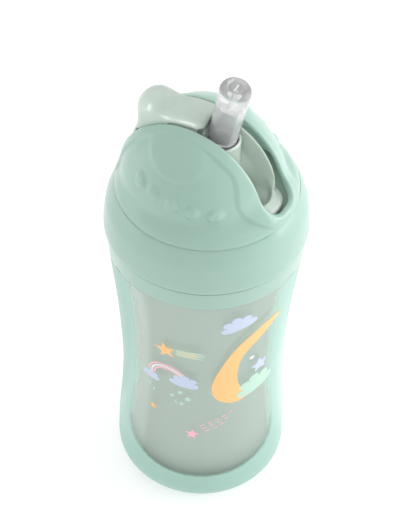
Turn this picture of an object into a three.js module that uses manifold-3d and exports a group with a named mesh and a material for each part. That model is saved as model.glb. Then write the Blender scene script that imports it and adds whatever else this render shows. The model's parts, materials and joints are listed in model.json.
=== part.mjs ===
// Straw cup for a toddler: double-wall cup, screw ring, domed lid and a cover that turns over a folding straw.
// Millimetres, +Z up, origin at the middle of the underside. The drinking side faces -Y.

import * as THREE from 'three';
import { mergeVertices } from 'three/addons/utils/BufferGeometryUtils.js';
import Module from 'manifold-3d';

const wasm = await Module();
wasm.setup();

// ---------- driving dimensions ----------

const TURNS = 40;                    // segments round a turned piece
const GAP = 0.3;                     // running gap between neighbours
const WALL = 1.6;                    // wall of the outer shell
const CUP_WALL = 1.4;                // wall of the inner cup
const SLIVER = 0.01;                 // edges shorter than this are closed up after the cuts

const BODY_TOP = 136;                // where the lid's ring meets the body
const BAND_BOTTOM = 126;             // lower edge of the opaque neck band
const FOOT_R = 22.2;                 // flat underside
const SHELL_CORNER = { z: 11.4, r: 34.23 };
const SHELL_SIDE = [                 // [z, radius] of the waisted outer wall
  [24.7, 33.88], [40.9, 32.81], [58.4, 32.4], [76.8, 33.29], [96, 34.83], [115.7, 37.07], [BODY_TOP, 39.25],
];
const CUP_BOTTOM = 3.8;
const CUP_FOOT_R = 19.3;
const CUP_CORNER = { z: 17.3, r: 28.73 };
const CUP_SIDE = [[36, 29.24], [58.7, 29.23], [83.3, 31.18], [109.1, 33.52], [132.5, 36.2]];
const CUP_FLANGE = { r: 36.9, bottom: 134.4, top: 135.7 };
const NECK = { r: 35.4, bore: 33.4, top: 145.3 };
const BAND_BORE = 37.2;

const THREAD = { r: 1.1, turns: 0.6, lead: 5.5, bottom: 138.2, starts: 2 };
const RING_BORE = 37.9;              // inner wall beside the threads
const RING_SIDE = [                  // [z, radius] of the ring's rounded outside
  [BODY_TOP + GAP, 39.75], [137.6, 39.93], [141.75, 39.67], [147.5, 38.93], [150.5, 38.05], [153.25, 36.94],
];
const RING_TOP = { z: 155.9, r: 35.8 };
const RING_LIP = { bore: 35.65, under: 150.9, pocket: 36.6, pocketBottom: 144.6 };

const GASKET = { inner: 32.6, outer: 36.1, bottom: 145.6, top: 146.8 };
const SEAT_DISC = { r: 36.2, bottom: 147.1, top: 148.7 };
const DOME_FLANGE = { r: 36.3, bottom: 149, top: 150.6 };
const DOME_WALL = 1.5;
const SHOULDER = [[35.3, DOME_FLANGE.top], [35.4, 156], [34.6, 158], [33.2, 159.8], [30.8, 161.2], [27, 162]];

const PIVOT = new THREE.Vector3(0, 2.5, 159.2);   // axis that the cover turns about, along X
const DOME_R = 31.5;                 // outside of the dome, about PIVOT
const SLOT = { half: 8.4, frontBottom: 160, corner: 6.2, backBottom: 164.4 };

const COVER_SKIN = { inner: 28.5, outer: 29.7, half: 11.6, front: -6, back: 104 };   // angles in degrees, back of +Z
const COVER_PAD = { half: 8, r: 32.8, front: -6, back: 47, corner: 6, hollow: 30.9, hollowHalf: 7.2 };
const STRAW_CLEAR = 0.5;             // room for the upright straw in the cover's front edge
const THUMB = { angle: 36, r: 33.5, radius: 7.3 };
const ARM = { inner: 8.6, outer: 10.2, halfWidth: 6.5, hole: 3.3, angle: 40 };
const TRUNNION_R = 3;

const PLATE = { inner: 7, outer: 8.2, r: 26.9 };   // side walls of the straw's trough
const TROUGH_FLOOR_R = 15;           // trough floor, about PIVOT
const TROUGH = { from: -112, to: 6 };
const BACK_WALL = { r: 25.4, bottom: 150.2 };
const FRONT_LIP = { y: -23.2, top: 160 };

const STRAW_Y = -5.7;                // the upright run of the straw, through the collar and down the cup
const STRAW_R = 5.75;
const STRAW_BORE = 3.6;
const LEAN = { angle: THREE.MathUtils.degToRad(10.5), z: 183.9, length: 27.2 };   // the leaning end above the collar
const TIP_SOLID = 9;                 // closed end above the bore
const TIP_ROUND = 2.1;
const SLIT = { length: 4.4, width: 0.8 };
const STEM_TOP = 182.4;
const COLLAR = { r: 7.15, bore: 6.3, ball: 28, rim: 181.6, slope: 14 };   // rim under a ball about PIVOT, and lower at the back
const BASE_FLANGE = { r: 8.5, thickness: 1.6 };
const SOCKET = { bottom: 138.5 };
const TUBE = { r: 3.5, bore: 2.5, bottom: 8, top: 145.4 };

const VENT = { x: -19, y: 4, stem: 1.5, head: 4.2, cap: 2.4 };

// ---------- geometry helpers ----------

const deg = THREE.MathUtils.degToRad;

// A geometry's solid: vertices merged, slivers dropped, faces pointing out.
function solid(geometry) {
  const source = geometry.clone();
  source.deleteAttribute('normal');
  source.deleteAttribute('uv');
  const merged = mergeVertices(source, 1e-4);
  const position = merged.attributes.position;
  const index = [...merged.index.array];
  let triangles = [];
  let volume = 0;
  const a = new THREE.Vector3();
  const b = new THREE.Vector3();
  const c = new THREE.Vector3();
  for (let i = 0; i < index.length; i += 3) {
    const [p, q, r] = index.slice(i, i + 3);
    if (p === q || q === r || r === p) continue;
    triangles.push([p, q, r]);
    a.fromBufferAttribute(position, p);
    b.fromBufferAttribute(position, q);
    c.fromBufferAttribute(position, r);
    volume += a.dot(b.cross(c));
  }
  if (volume < 0) triangles = triangles.map(([p, q, r]) => [p, r, q]);
  const mesh = new wasm.Mesh({
    numProp: 3,
    vertProperties: new Float32Array(position.array),
    triVerts: new Uint32Array(triangles.flat()),
  });
  return new wasm.Manifold(mesh);
}

// Turned about Z from [radius, z] points that start and end on the axis or close on themselves.
function turned(points, segments = TURNS) {
  const profile = points.map(([r, z]) => new THREE.Vector2(Math.max(r, 0), z));
  return solid(new THREE.LatheGeometry(profile, segments).rotateX(Math.PI / 2));
}

function ring(inner, outer, bottom, top, segments = TURNS) {
  return turned([[inner, bottom], [outer, bottom], [outer, top], [inner, top], [inner, bottom]], segments);
}

function disc(radius, bottom, top, segments = TURNS) {
  return turned([[0, bottom], [radius, bottom], [radius, top], [0, top]], segments);
}

function box(x, y, z) {
  const size = [x, y, z].map(([low, high]) => high - low);
  const middle = [x, y, z].map(([low, high]) => (high + low) / 2);
  return solid(new THREE.BoxGeometry(...size).translate(...middle));
}

// An outline in the YZ plane, pushed along X from -half to half.
function slab(outline, half) {
  const shape = new THREE.Shape(outline.map(([y, z]) => new THREE.Vector2(y, z)));
  const geometry = new THREE.ExtrudeGeometry(shape, { depth: 2 * half, bevelEnabled: false });
  const axes = new THREE.Matrix4().makeBasis(
    new THREE.Vector3(0, 1, 0), new THREE.Vector3(0, 0, 1), new THREE.Vector3(1, 0, 0),
  );
  return solid(geometry.translate(0, 0, -half).applyMatrix4(axes));
}

// A point at this angle (degrees, 0 up, positive towards the back) and distance from the cover's pivot, as [y, z].
function polar(angle, radius) {
  return [PIVOT.y + radius * Math.sin(deg(angle)), PIVOT.z + radius * Math.cos(deg(angle))];
}

// A pie slice of the YZ plane about the pivot, between two angles.
function slice(from, to, inner, outer, half) {
  const steps = Math.max(2, Math.ceil((to - from) / 7.5));
  const angles = Array.from({ length: steps + 1 }, (_, i) => from + (i * (to - from)) / steps);
  const outline = angles.map((angle) => polar(angle, outer));
  if (inner > 0) outline.push(...angles.reverse().map((angle) => polar(angle, inner)));
  else outline.push(polar(0, 0));
  return slab(outline, half);
}

function ball(radius, segments = TURNS) {
  const sphere = new THREE.SphereGeometry(radius, segments, segments / 2).rotateX(Math.PI / 2);
  return solid(sphere.translate(PIVOT.x, PIVOT.y, PIVOT.z));
}

// A round bar along X at a point of the YZ plane.
function bar(y, z, radius, fromX, toX, segments = 24) {
  const cylinder = new THREE.CylinderGeometry(radius, radius, toX - fromX, segments).rotateZ(Math.PI / 2);
  return solid(cylinder.translate((fromX + toX) / 2, y, z));
}

// Tips a piece made upright at the origin onto the straw's leaning end.
function leaning(geometry) {
  return solid(geometry.rotateX(LEAN.angle).translate(0, STRAW_Y, LEAN.z));
}

// Points along a smooth side wall, as [radius, z].
function sidePoints(side, steps, inset = 0) {
  const curve = new THREE.SplineCurve(side.map(([z, r]) => new THREE.Vector2(r - inset, z)));
  return curve.getPoints(steps).map((p) => [p.x, p.y]);
}

// The quarter ellipse between a flat foot and a side wall, as [radius, z].
function cornerPoints(footR, footZ, corner, steps) {
  return Array.from({ length: steps + 1 }, (_, i) => {
    const t = (i / steps) * (Math.PI / 2);
    return [
      footR + (corner.r - footR) * Math.sin(t),
      corner.z - (corner.z - footZ) * Math.cos(t),
    ];
  });
}

class Helix extends THREE.Curve {
  constructor(radius, bottom, phase) {
    super();
    Object.assign(this, { radius, bottom, phase });
  }

  getPoint(t, target = new THREE.Vector3()) {
    const angle = this.phase + t * THREAD.turns * 2 * Math.PI;
    const z = this.bottom + t * THREAD.turns * THREAD.lead;
    return target.set(this.radius * Math.cos(angle), this.radius * Math.sin(angle), z);
  }
}

function threadRidge(radius, bottom, phase) {
  const section = new THREE.Shape().absarc(0, 0, THREAD.r, 0, 2 * Math.PI);
  const options = { steps: 14, curveSegments: 3, bevelEnabled: false, extrudePath: new Helix(radius, bottom, phase) };
  return solid(new THREE.ExtrudeGeometry(section, options));
}

function withThreads(body, radius, bottom, phase) {
  let result = body;
  for (let i = 0; i < THREAD.starts; i += 1) {
    result = result.add(threadRidge(radius, bottom, phase + (i * 2 * Math.PI) / THREAD.starts));
  }
  return result;
}

const group = new THREE.Group();
group.name = 'straw_cup';

function add(name, body, color, roughness, extra = {}) {
  const { vertProperties, triVerts } = body.simplify(SLIVER).getMesh();
  const geometry = new THREE.BufferGeometry();
  geometry.setAttribute('position', new THREE.BufferAttribute(new Float32Array(vertProperties), 3));
  geometry.setIndex(new THREE.BufferAttribute(new Uint32Array(triVerts), 1));
  geometry.computeVertexNormals();
  const material = new THREE.MeshStandardMaterial({ color, roughness, metalness: 0, ...extra });
  const mesh = new THREE.Mesh(geometry, material);
  mesh.name = name;
  group.add(mesh);
}

// ---------- the cup ----------

// Outer wall with its corner and foot, moved inwards by inset and stopped at a height.
function shellProfile(inset, steps) {
  const corner = { z: SHELL_CORNER.z, r: SHELL_CORNER.r - inset };
  const wall = sidePoints([[SHELL_CORNER.z, SHELL_CORNER.r], ...SHELL_SIDE], steps, inset).slice(1);
  return [...cornerPoints(FOOT_R, inset, corner, 5), ...wall];
}

function outerShell() {
  const outside = turned([[0, 0], ...shellProfile(0, 9), [0, BODY_TOP]]);
  const inside = turned([[0, WALL], ...shellProfile(WALL, 7), [0, BODY_TOP]]);
  const above = disc(50, BAND_BOTTOM - GAP / 2, BODY_TOP + 10);
  return outside.subtract(inside).subtract(above);
}

function neckBand() {
  const outside = turned([[0, 100], ...sidePoints(SHELL_SIDE, 28).slice(12), [0, BODY_TOP]]);
  const between = disc(50, BAND_BOTTOM + GAP / 2, BODY_TOP - GAP / 2);
  const bore = disc(BAND_BORE, 90, BODY_TOP + 5);
  return outside.intersect(between).subtract(bore);
}

function cupProfile(inset) {
  const corner = { z: CUP_CORNER.z, r: CUP_CORNER.r - inset };
  const wall = sidePoints([[CUP_CORNER.z, CUP_CORNER.r], ...CUP_SIDE], 7, inset).slice(1);
  return [...cornerPoints(CUP_FOOT_R, CUP_BOTTOM + inset, corner, 5), ...wall];
}

function innerCup() {
  const outside = turned([
    [0, CUP_BOTTOM], ...cupProfile(0), [CUP_FLANGE.r, CUP_FLANGE.bottom], [CUP_FLANGE.r, CUP_FLANGE.top],
    [NECK.r, CUP_FLANGE.top + GAP], [NECK.r, NECK.top], [0, NECK.top],
  ]);
  const inside = turned([
    [0, CUP_BOTTOM + CUP_WALL], ...cupProfile(CUP_WALL), [NECK.bore, CUP_FLANGE.top + 1],
    [NECK.bore, NECK.top + 1], [0, NECK.top + 1],
  ]);
  return withThreads(outside, NECK.r, THREAD.bottom, 0).subtract(inside);
}

// ---------- the lid ----------

function lidRing() {
  const outside = sidePoints(RING_SIDE, 9);
  const body = turned([
    [RING_BORE, BODY_TOP + GAP], ...outside, [RING_TOP.r, RING_TOP.z], [RING_LIP.bore, RING_TOP.z],
    [RING_LIP.bore, RING_LIP.under], [RING_LIP.pocket, RING_LIP.under], [RING_LIP.pocket, RING_LIP.pocketBottom],
    [RING_BORE, RING_LIP.pocketBottom - 1], [RING_BORE, BODY_TOP + GAP],
  ]);
  const step = THREAD.lead / THREAD.starts / 2;
  return withThreads(body, RING_BORE + 0.1, THREAD.bottom - step / 2, Math.PI / THREAD.starts);
}

function shoulderSolid(inset) {
  const points = SHOULDER.map(([r, z]) => [r - inset, z - (z > DOME_FLANGE.top ? inset / 2 : 0)]);
  return turned([[0, DOME_FLANGE.bottom - 1], [points[0][0], DOME_FLANGE.bottom - 1], ...points, [0, 162.4 - inset]]);
}

// The slot that the straw stands in: rounded at the drinking side, and cut square over the back.
function slotCutter() {
  const front = new THREE.Shape();
  front.moveTo(SLOT.half, 210);
  front.lineTo(-SLOT.half, 210);
  const side = SLOT.half - SLOT.corner;
  front.absarc(-side, SLOT.frontBottom + SLOT.corner, SLOT.corner, Math.PI, 1.5 * Math.PI, false);
  front.absarc(side, SLOT.frontBottom + SLOT.corner, SLOT.corner, 1.5 * Math.PI, 2 * Math.PI, false);
  const options = { depth: 50, curveSegments: 6, bevelEnabled: false };
  const geometry = new THREE.ExtrudeGeometry(front, options).rotateX(Math.PI / 2).translate(0, PIVOT.y, 0);
  const back = box([-SLOT.half, SLOT.half], [PIVOT.y - 1, 50], [SLOT.backBottom, 210]);
  return solid(geometry).add(back);
}

function lidDome() {
  const floor = disc(60, 100, DOME_FLANGE.bottom);
  const flange = disc(DOME_FLANGE.r, DOME_FLANGE.bottom, DOME_FLANGE.top);
  const outside = ball(DOME_R).add(shoulderSolid(0)).subtract(floor).add(flange);
  const inside = ball(DOME_R - DOME_WALL).add(shoulderSolid(DOME_WALL));
  return outside.subtract(inside).subtract(slotCutter());
}

// An upright round bar on the straw's axis.
function strawBar(radius, bottom, top) {
  return disc(radius, bottom, top, 24).translate([0, STRAW_Y, 0]);
}

function strawSeat() {
  const above = box([-40, 40], [-45, 45], [SEAT_DISC.top - 0.6, 260]);
  const inPlate = PLATE.inner;
  const drum = bar(PIVOT.y, PIVOT.z, PLATE.r, -PLATE.outer, PLATE.outer, 48);
  const trough = slice(TROUGH.from, TROUGH.to, TROUGH_FLOOR_R, PLATE.r + 3, inPlate)
    .subtract(box([-20, 20], [-60, FRONT_LIP.y], [100, FRONT_LIP.top]))
    .intersect(box([-20, 20], [-60, 60], [SEAT_DISC.top, 260]));
  const backRoom = slice(TROUGH.to - 1, 120, 0, BACK_WALL.r, inPlate)
    .intersect(box([-20, 20], [PIVOT.y + 4, 60], [BACK_WALL.bottom, 260]));
  const backMouth = slice(-2, TROUGH.to + 8, TROUGH_FLOOR_R - 3, PLATE.r + 3, inPlate);
  const rim = box([-20, 20], [-30, 30], [0, 40]).rotate([-COLLAR.slope, 0, 0]).translate([0, STRAW_Y, COLLAR.rim]);
  const collar = strawBar(COLLAR.r, SEAT_DISC.bottom, 200).intersect(ball(COLLAR.ball)).subtract(rim);
  const pins = bar(PIVOT.y, PIVOT.z, TRUNNION_R, -ARM.outer - 0.6, ARM.outer + 0.6);
  const plate = disc(SEAT_DISC.r, SEAT_DISC.bottom, SEAT_DISC.top);
  const ventHole = disc(VENT.stem + GAP, 140, 155, 12).translate([VENT.x, VENT.y, 0]);
  const below = box([-40, 40], [-45, 45], [60, SEAT_DISC.bottom]);
  return drum.subtract(trough).subtract(backRoom).subtract(backMouth)
    .add(collar).intersect(above).add(plate).add(pins.subtract(bar(PIVOT.y, PIVOT.z, 4, -inPlate, inPlate)))
    .subtract(strawBar(COLLAR.bore, 120, 200)).subtract(ventHole).subtract(below);
}

function sliderCover() {
  const skin = ball(COVER_SKIN.outer).subtract(ball(COVER_SKIN.inner))
    .intersect(slice(COVER_SKIN.front, COVER_SKIN.back, 0, 60, COVER_SKIN.half));
  const pad = slice(COVER_PAD.front, COVER_PAD.back, COVER_SKIN.inner + 0.3, COVER_PAD.r, COVER_PAD.half);
  const [thumbY, thumbZ] = polar(THUMB.angle, THUMB.r);
  const thumb = solid(new THREE.SphereGeometry(THUMB.radius, 20, 12).rotateZ(Math.PI / 2)
    .scale((COVER_PAD.half + 0.4) / THUMB.radius, 1, 1).translate(0, thumbY, thumbZ));
  const hollow = bar(PIVOT.y, PIVOT.z, COVER_PAD.hollow, -COVER_PAD.hollowHalf, COVER_PAD.hollowHalf, 48);
  const [frontY] = polar(COVER_PAD.front, COVER_PAD.r);
  const plan = new THREE.Shape();
  plan.absarc(-COVER_PAD.half + COVER_PAD.corner, frontY + COVER_PAD.corner, COVER_PAD.corner, Math.PI, 1.5 * Math.PI);
  plan.absarc(COVER_PAD.half - COVER_PAD.corner, frontY + COVER_PAD.corner, COVER_PAD.corner, 1.5 * Math.PI, 0);
  plan.lineTo(COVER_PAD.half, 60);
  plan.lineTo(-COVER_PAD.half, 60);
  const outline = solid(new THREE.ExtrudeGeometry(plan, { depth: 60, curveSegments: 5, bevelEnabled: false })
    .translate(0, 0, PIVOT.z));
  const block = pad.add(thumb).intersect(outline).subtract(ball(COVER_SKIN.inner));
  const channel = hollow.intersect(slice(COVER_PAD.front - 5, COVER_PAD.back - 2, 0, 60, 20));
  const straw = leaning(new THREE.CylinderGeometry(STRAW_R + STRAW_CLEAR, STRAW_R + STRAW_CLEAR, 60, 24).rotateX(Math.PI / 2));
  return skin.add(block).subtract(channel).add(coverArm(1)).add(coverArm(-1)).subtract(straw);
}

// A flat arm from the cover's skin down to an eye round the seat's trunnion.
function coverArm(side) {
  const turn = deg(ARM.angle);
  const along = [Math.sin(turn), Math.cos(turn)];
  const across = [Math.cos(turn), -Math.sin(turn)];
  const corners = [[0, -1], [28, -1], [28, 1], [0, 1]].map(([reach, edge]) => [
    PIVOT.y + along[0] * reach + across[0] * edge * ARM.halfWidth,
    PIVOT.z + along[1] * reach + across[1] * edge * ARM.halfWidth,
  ]);
  const [near, far] = side > 0 ? [ARM.inner, ARM.outer] : [-ARM.outer, -ARM.inner];
  const band = box([near, far], [-50, 60], [100, 210]);
  const eye = bar(PIVOT.y, PIVOT.z, ARM.halfWidth, near, far);
  const hole = bar(PIVOT.y, PIVOT.z, ARM.hole, near - 1, far + 1);
  return slab(corners, 20).intersect(band).add(eye).intersect(ball(COVER_SKIN.outer)).subtract(hole);
}

function lidGasket() {
  return ring(GASKET.inner, GASKET.outer, GASKET.bottom, GASKET.top);
}

// Umbrella valve that lets air in as the child drinks.
function ventValve() {
  const under = SEAT_DISC.bottom - GAP;
  const over = SEAT_DISC.top + GAP;
  return turned([
    [0, under - 1.2], [VENT.head, under - 0.5], [VENT.head, under], [VENT.stem, under],
    [VENT.stem, over], [VENT.cap, over], [VENT.cap, over + 0.8], [0, over + 1.4],
  ], 20).translate([VENT.x, VENT.y, 0]);
}

// ---------- the straw ----------

function mouthpiece() {
  const end = LEAN.length;
  const side = STRAW_R - TIP_ROUND;
  const rounding = Array.from({ length: 4 }, (_, i) => {
    const t = (i / 3) * (Math.PI / 2);
    return new THREE.Vector2(side + TIP_ROUND * Math.cos(t), end - TIP_ROUND * (1 - Math.sin(t)));
  });
  const profile = [new THREE.Vector2(0, 0), new THREE.Vector2(STRAW_R, 0), ...rounding, new THREE.Vector2(0, end)];
  const body = leaning(new THREE.LatheGeometry(profile, 24).rotateX(Math.PI / 2));
  const boreLength = end - TIP_SOLID + 1;
  const bore = leaning(new THREE.CylinderGeometry(STRAW_BORE, STRAW_BORE, boreLength, 24)
    .rotateX(Math.PI / 2).translate(0, 0, boreLength / 2 - 1));
  const slit = leaning(new THREE.BoxGeometry(SLIT.length, SLIT.width, 2 * TIP_SOLID).translate(0, 0, end - 2));
  return body.subtract(bore).subtract(slit);
}

// The same silicone below the bend: a stem in the collar, a flange under the seat and a socket for the tube.
function mouthpieceBase() {
  const stem = strawBar(STRAW_R, SOCKET.bottom, STEM_TOP);
  const flangeTop = SEAT_DISC.bottom - GAP;
  const flange = strawBar(BASE_FLANGE.r, flangeTop - BASE_FLANGE.thickness, flangeTop);
  const socket = strawBar(TUBE.r + GAP, SOCKET.bottom - 1, TUBE.top + GAP);
  const bore = strawBar(STRAW_BORE, TUBE.top, STEM_TOP + 1);
  return stem.add(flange).subtract(socket).subtract(bore);
}

function strawTube() {
  return ring(TUBE.bore, TUBE.r, TUBE.bottom, TUBE.top, 20).translate([0, STRAW_Y, 0]);
}

// ---------- the assembly ----------

const MINT = 0xa9cabc;
const PALE = 0xbccbc2;
const CLEAR = { transparent: true, opacity: 0.5 };

add('outer_shell', outerShell(), 0xb9ddcf, 0.12, CLEAR);
add('inner_cup', innerCup(), PALE, 0.35);
add('neck_band', neckBand(), MINT, 0.3);
add('lid_ring', lidRing(), MINT, 0.25);
add('lid_dome', lidDome(), MINT, 0.25);
add('straw_seat', strawSeat(), PALE, 0.35);
add('slider_cover', sliderCover(), PALE, 0.25);
add('lid_gasket', lidGasket(), 0xe4e8e6, 0.5);
add('vent_valve', ventValve(), 0xe4e8e6, 0.5);
add('mouthpiece', mouthpiece(), 0xdcdcdc, 0.2, CLEAR);
add('mouthpiece_base', mouthpieceBase(), 0xdcdcdc, 0.2, CLEAR);
add('straw_tube', strawTube(), 0xe8e8e8, 0.2, CLEAR);

export default group;
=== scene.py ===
import itertools
import json
import math

import bpy
import numpy as np
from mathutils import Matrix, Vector
from mathutils.geometry import delaunay_2d_cdt


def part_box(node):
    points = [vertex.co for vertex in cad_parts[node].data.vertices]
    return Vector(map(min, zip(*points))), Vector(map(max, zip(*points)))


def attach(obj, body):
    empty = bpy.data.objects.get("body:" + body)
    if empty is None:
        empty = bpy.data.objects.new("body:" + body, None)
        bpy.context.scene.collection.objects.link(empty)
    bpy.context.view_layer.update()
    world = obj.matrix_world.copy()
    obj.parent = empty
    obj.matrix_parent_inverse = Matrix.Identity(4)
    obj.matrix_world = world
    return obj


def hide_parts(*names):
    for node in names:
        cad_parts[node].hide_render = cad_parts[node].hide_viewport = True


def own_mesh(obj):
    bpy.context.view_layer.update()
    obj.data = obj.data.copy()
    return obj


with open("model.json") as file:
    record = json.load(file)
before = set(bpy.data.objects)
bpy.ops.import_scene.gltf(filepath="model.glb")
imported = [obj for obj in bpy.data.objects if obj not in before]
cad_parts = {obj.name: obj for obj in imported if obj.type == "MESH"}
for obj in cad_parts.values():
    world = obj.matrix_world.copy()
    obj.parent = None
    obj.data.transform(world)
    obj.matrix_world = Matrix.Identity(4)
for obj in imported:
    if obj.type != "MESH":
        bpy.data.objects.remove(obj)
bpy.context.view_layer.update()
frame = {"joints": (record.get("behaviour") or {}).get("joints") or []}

# The looks of a toddler's straw cup. Lengths are millimetres in the row frame until they reach Blender,
# which has metres.
MM = 0.001


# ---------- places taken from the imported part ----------


def low(node):
    return np.array(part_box(node)[0]) / MM


def high(node):
    return np.array(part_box(node)[1]) / MM


COVER_JOINT = next(j for j in frame["joints"] if j["name"] == "cover_turn")
PIVOT = np.array(COVER_JOINT["pos_m"]) / MM       # axis of the cover, along X
BAND_LOW, BAND_TOP = low("neck_band")[2], high("neck_band")[2]
RING_LOW, RING_TOP = low("lid_ring")[2], high("lid_ring")[2]
PLATE_LOW = low("straw_seat")[2]
PLATE_THICK = 1.6
PLATE_TOP = PLATE_LOW + PLATE_THICK
PLATE_R = high("straw_seat")[0]
DOME_LOW = low("lid_dome")[2]
FLANGE_R = high("lid_dome")[0]
STRAW_Y = (low("straw_tube")[1] + high("straw_tube")[1]) / 2
STEM_TOP = high("mouthpiece_base")[2]

# ---------- driving dimensions ----------

WALL = 1.6
CUP_WALL = 1.4
FOOT_R = 22.2
SHELL_CORNER = (34.23, 11.4)   # radius and height at which the foot's curve becomes the side
SHELL_SIDE = [
    (33.88, 24.7), (32.81, 40.9), (32.4, 58.4), (33.29, 76.8), (34.83, 96), (37.07, 115.7), (39.25, 136),
]
CUP_FOOT_R = 19.3
CUP_CORNER = (28.73, 17.3)   # radius and height at which the foot's curve becomes the side
CUP_SIDE = [(29.24, 36), (29.23, 58.7), (31.18, 83.3), (33.52, 109.1), (36.2, 132.5)]
CUP_NECK = 35.4
CUP_STEP = [(36.9, 134.4), (36.9, 135.7), (CUP_NECK, 136)]   # shelf between the cup's side and its neck
CUP_BORE = 33.4
CUP_BORE_FOOT = 136.7
CUP_FLAT_R = 8               # of the foot, which is level inside this radius
BAND_SEAM = 0.4              # the band stops this much short, which makes its seam under the ring wider
RING_BORE = 37.9
RING_FOOT_R = 39.75
RING_SIDE = [(39.93, 137.6), (39.67, 141.75), (38.93, 147.5), (38.05, 150.5), (36.94, 153.25)]
# Radius, height and corner radius down the ring's inside, from its top to its thread.
RING_INSIDE = [
    (36.3, 154.5, 0.5), (35.5, RING_TOP, 0.06), (35.5, 150.9, 0.2), (36.6, 150.9, 0.2), (36.6, 144.6, 0.3),
    (RING_BORE, 143.6, 0.3), (RING_BORE, 142, 0),
]
BAND_BORE = 37.2
THREAD = {"r": 1.1, "turns": 0.6, "lead": 5.5, "low": 138.2}

DOME_R = 31.5
DOME_X = 30.9                # half width of the dome's ball, a little less than its height
DOME_WALL = 1.5
DOME_FLANGE = 1.6            # thickness of the flange that the ring holds down
SHOULDER = {"r": 35.48, "top": 161.4, "corner": 6.6}
BLEND = 3.5                  # hollow between the ball and its shoulder
SLOT_BLEND = {"more": 5.0, "sideways": (9, 20), "forwards": (5, 15)}   # wider round the slot's end
SLOT = {"half": 8.4, "front": 159.6, "corner": 6.2, "back": 164.4, "back_corner": 1.5, "edge": 1.2}
SLOT_OVERLAP = 2             # the slot's two depths meet behind the pivot
FAR = 99

# The lip along the slot and the ovals on the cheeks are measured from the cover's pivot.
LIP = {"x": 13.4, "front": 17, "rise": 0.7, "edge": 0.7, "widest": 10, "drop": 14, "narrow": 22}
PAD = {"at": (2.0, 25.0), "size": (13.5, 6.2), "turn": 6, "rise": 0.6, "inner": 9}
TOES = [(12.4, 13.4), (5.6, 12.2), (-3.0, 10.6), (-11.1, 9.3), (-18.8, 8.3)]
TOE = {"r": 2.9, "rise": 1.1}
RELIEF_FADE = (-5, 1)        # heights over which they fade in

SKIN = {"inner": 29.0, "outer": 29.7, "half": 11.6, "front": -6, "back": 104}   # a slice of a thin ball
COVER_PAD = {"half": 8.2, "r": 32.8, "corner": 3.5, "edge": 3.2, "nose": 2.2, "widest": 8.25}
HOLLOW = {"r": 30.9, "half": 7.2, "back": 64, "skin": 1.2}   # the straw's room under the pad
TAPER = (43, 76)             # degrees over which the pad's back runs down to the skin
THUMB = {"angle": 36, "r": 33.5, "radius": 7.3, "half": 8.4, "blend": 5.0}
ARM = {"inner": 8.6, "outer": 10.2, "half": 6.5, "hole": 3.3, "angle": 40}

DRUM = {"ball": 28.75, "half": 8.2, "room": 7.0}   # its rim follows the inside of the cover's skin
APRON = {"ball": 33.2, "front": -31, "corner": 7}   # its round end under the closed cover's nose
TROUGH = {"floor": 15, "fillet": 5, "back": 10}   # its floor is this far from the pivot
PIT = {"floor": 154.5, "fillet": 4.0}   # the trough's deep end in front of the straw
BACK_ROOM = {"r": 25.4, "front": 4, "low": 150.2}
FRONT_LIP = {"y": -26, "top": 160, "edge": 2.0, "fillet": 7.0}
TRUNNION_R = 3
COLLAR = {"r": 7.15, "bore": 6.1, "ball": 28, "rim": 181.6, "slope": 14}
PIN_END = 0.6                # how far a trunnion's pin stands out of the cover's arm
VENT = (-19, 4)
VENT_R = 1.8

STRAW_R = 5.75
STRAW_CLEAR = 0.5            # room for the straw in the cover's front edge
STRAW_FLARE = {"more": 0.3, "from": 6, "to": 20}
STRAW_BORE = 3.6
STEM_FLANGE = {"r": 8.5, "thick": 1.6}
LEAN = {"angle": math.radians(10.5), "z": 183.9, "length": 27.8}
TIP = {"solid": 9, "edge": 2.1, "groove": 2.9, "groove_r": 0.55, "slit": 1.9, "slit_half": 0.3}
DISH = {"r": 6.6, "above": 6.2, "rim": 2.4}   # the hollow in the tip's end, part of a ball
TUBE = {"r": 3.5, "bore": 2.5}


# ---------- meshes ----------


def mesh_object(name, vertices, faces, smooth_angle=40):
    mesh = bpy.data.meshes.new(name)
    mesh.from_pydata((np.asarray(vertices, float) * MM).tolist(), [], [list(map(int, f)) for f in faces])
    mesh.validate()
    mesh.polygons.foreach_set("use_smooth", [True] * len(mesh.polygons))
    mesh.set_sharp_from_angle(angle=math.radians(smooth_angle))
    thing = bpy.data.objects.new(name, mesh)
    bpy.context.scene.collection.objects.link(thing)
    return thing


def finish_piece(thing, material, body, slot, *nodes):
    thing.data.materials.append(material)
    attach(thing, body)
    if nodes:
        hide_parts(*nodes)
    return thing


def merge(*parts):
    """Several (vertices, faces) as one."""
    vertices, faces, start = [], [], 0
    for v, f in parts:
        vertices.extend(np.asarray(v).tolist())
        faces.extend([[i + start for i in face] for face in f])
        start += len(v)
    return vertices, faces


def between(a, b, c, d, t):
    """A point of the smooth curve from b to c, with a before them and d after them."""
    straight = 2 * b + (c - a) * t
    bend = (2 * a - 5 * b + 4 * c - d) * t * t
    twist = (3 * b - a - 3 * c + d) * t**3
    return 0.5 * (straight + bend + twist)


def spline(points, steps):
    """Points of a smooth curve through the given ones, steps to each span."""
    p = np.array([2 * np.array(points[0]) - points[1], *points, 2 * np.array(points[-1]) - points[-2]], float)
    result = []
    for i in range(1, len(p) - 2):
        for t in np.arange(steps) / steps:
            result.append(between(*p[i - 1 : i + 3], t))
    result.append(p[-2])
    return [tuple(q) for q in result]


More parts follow.
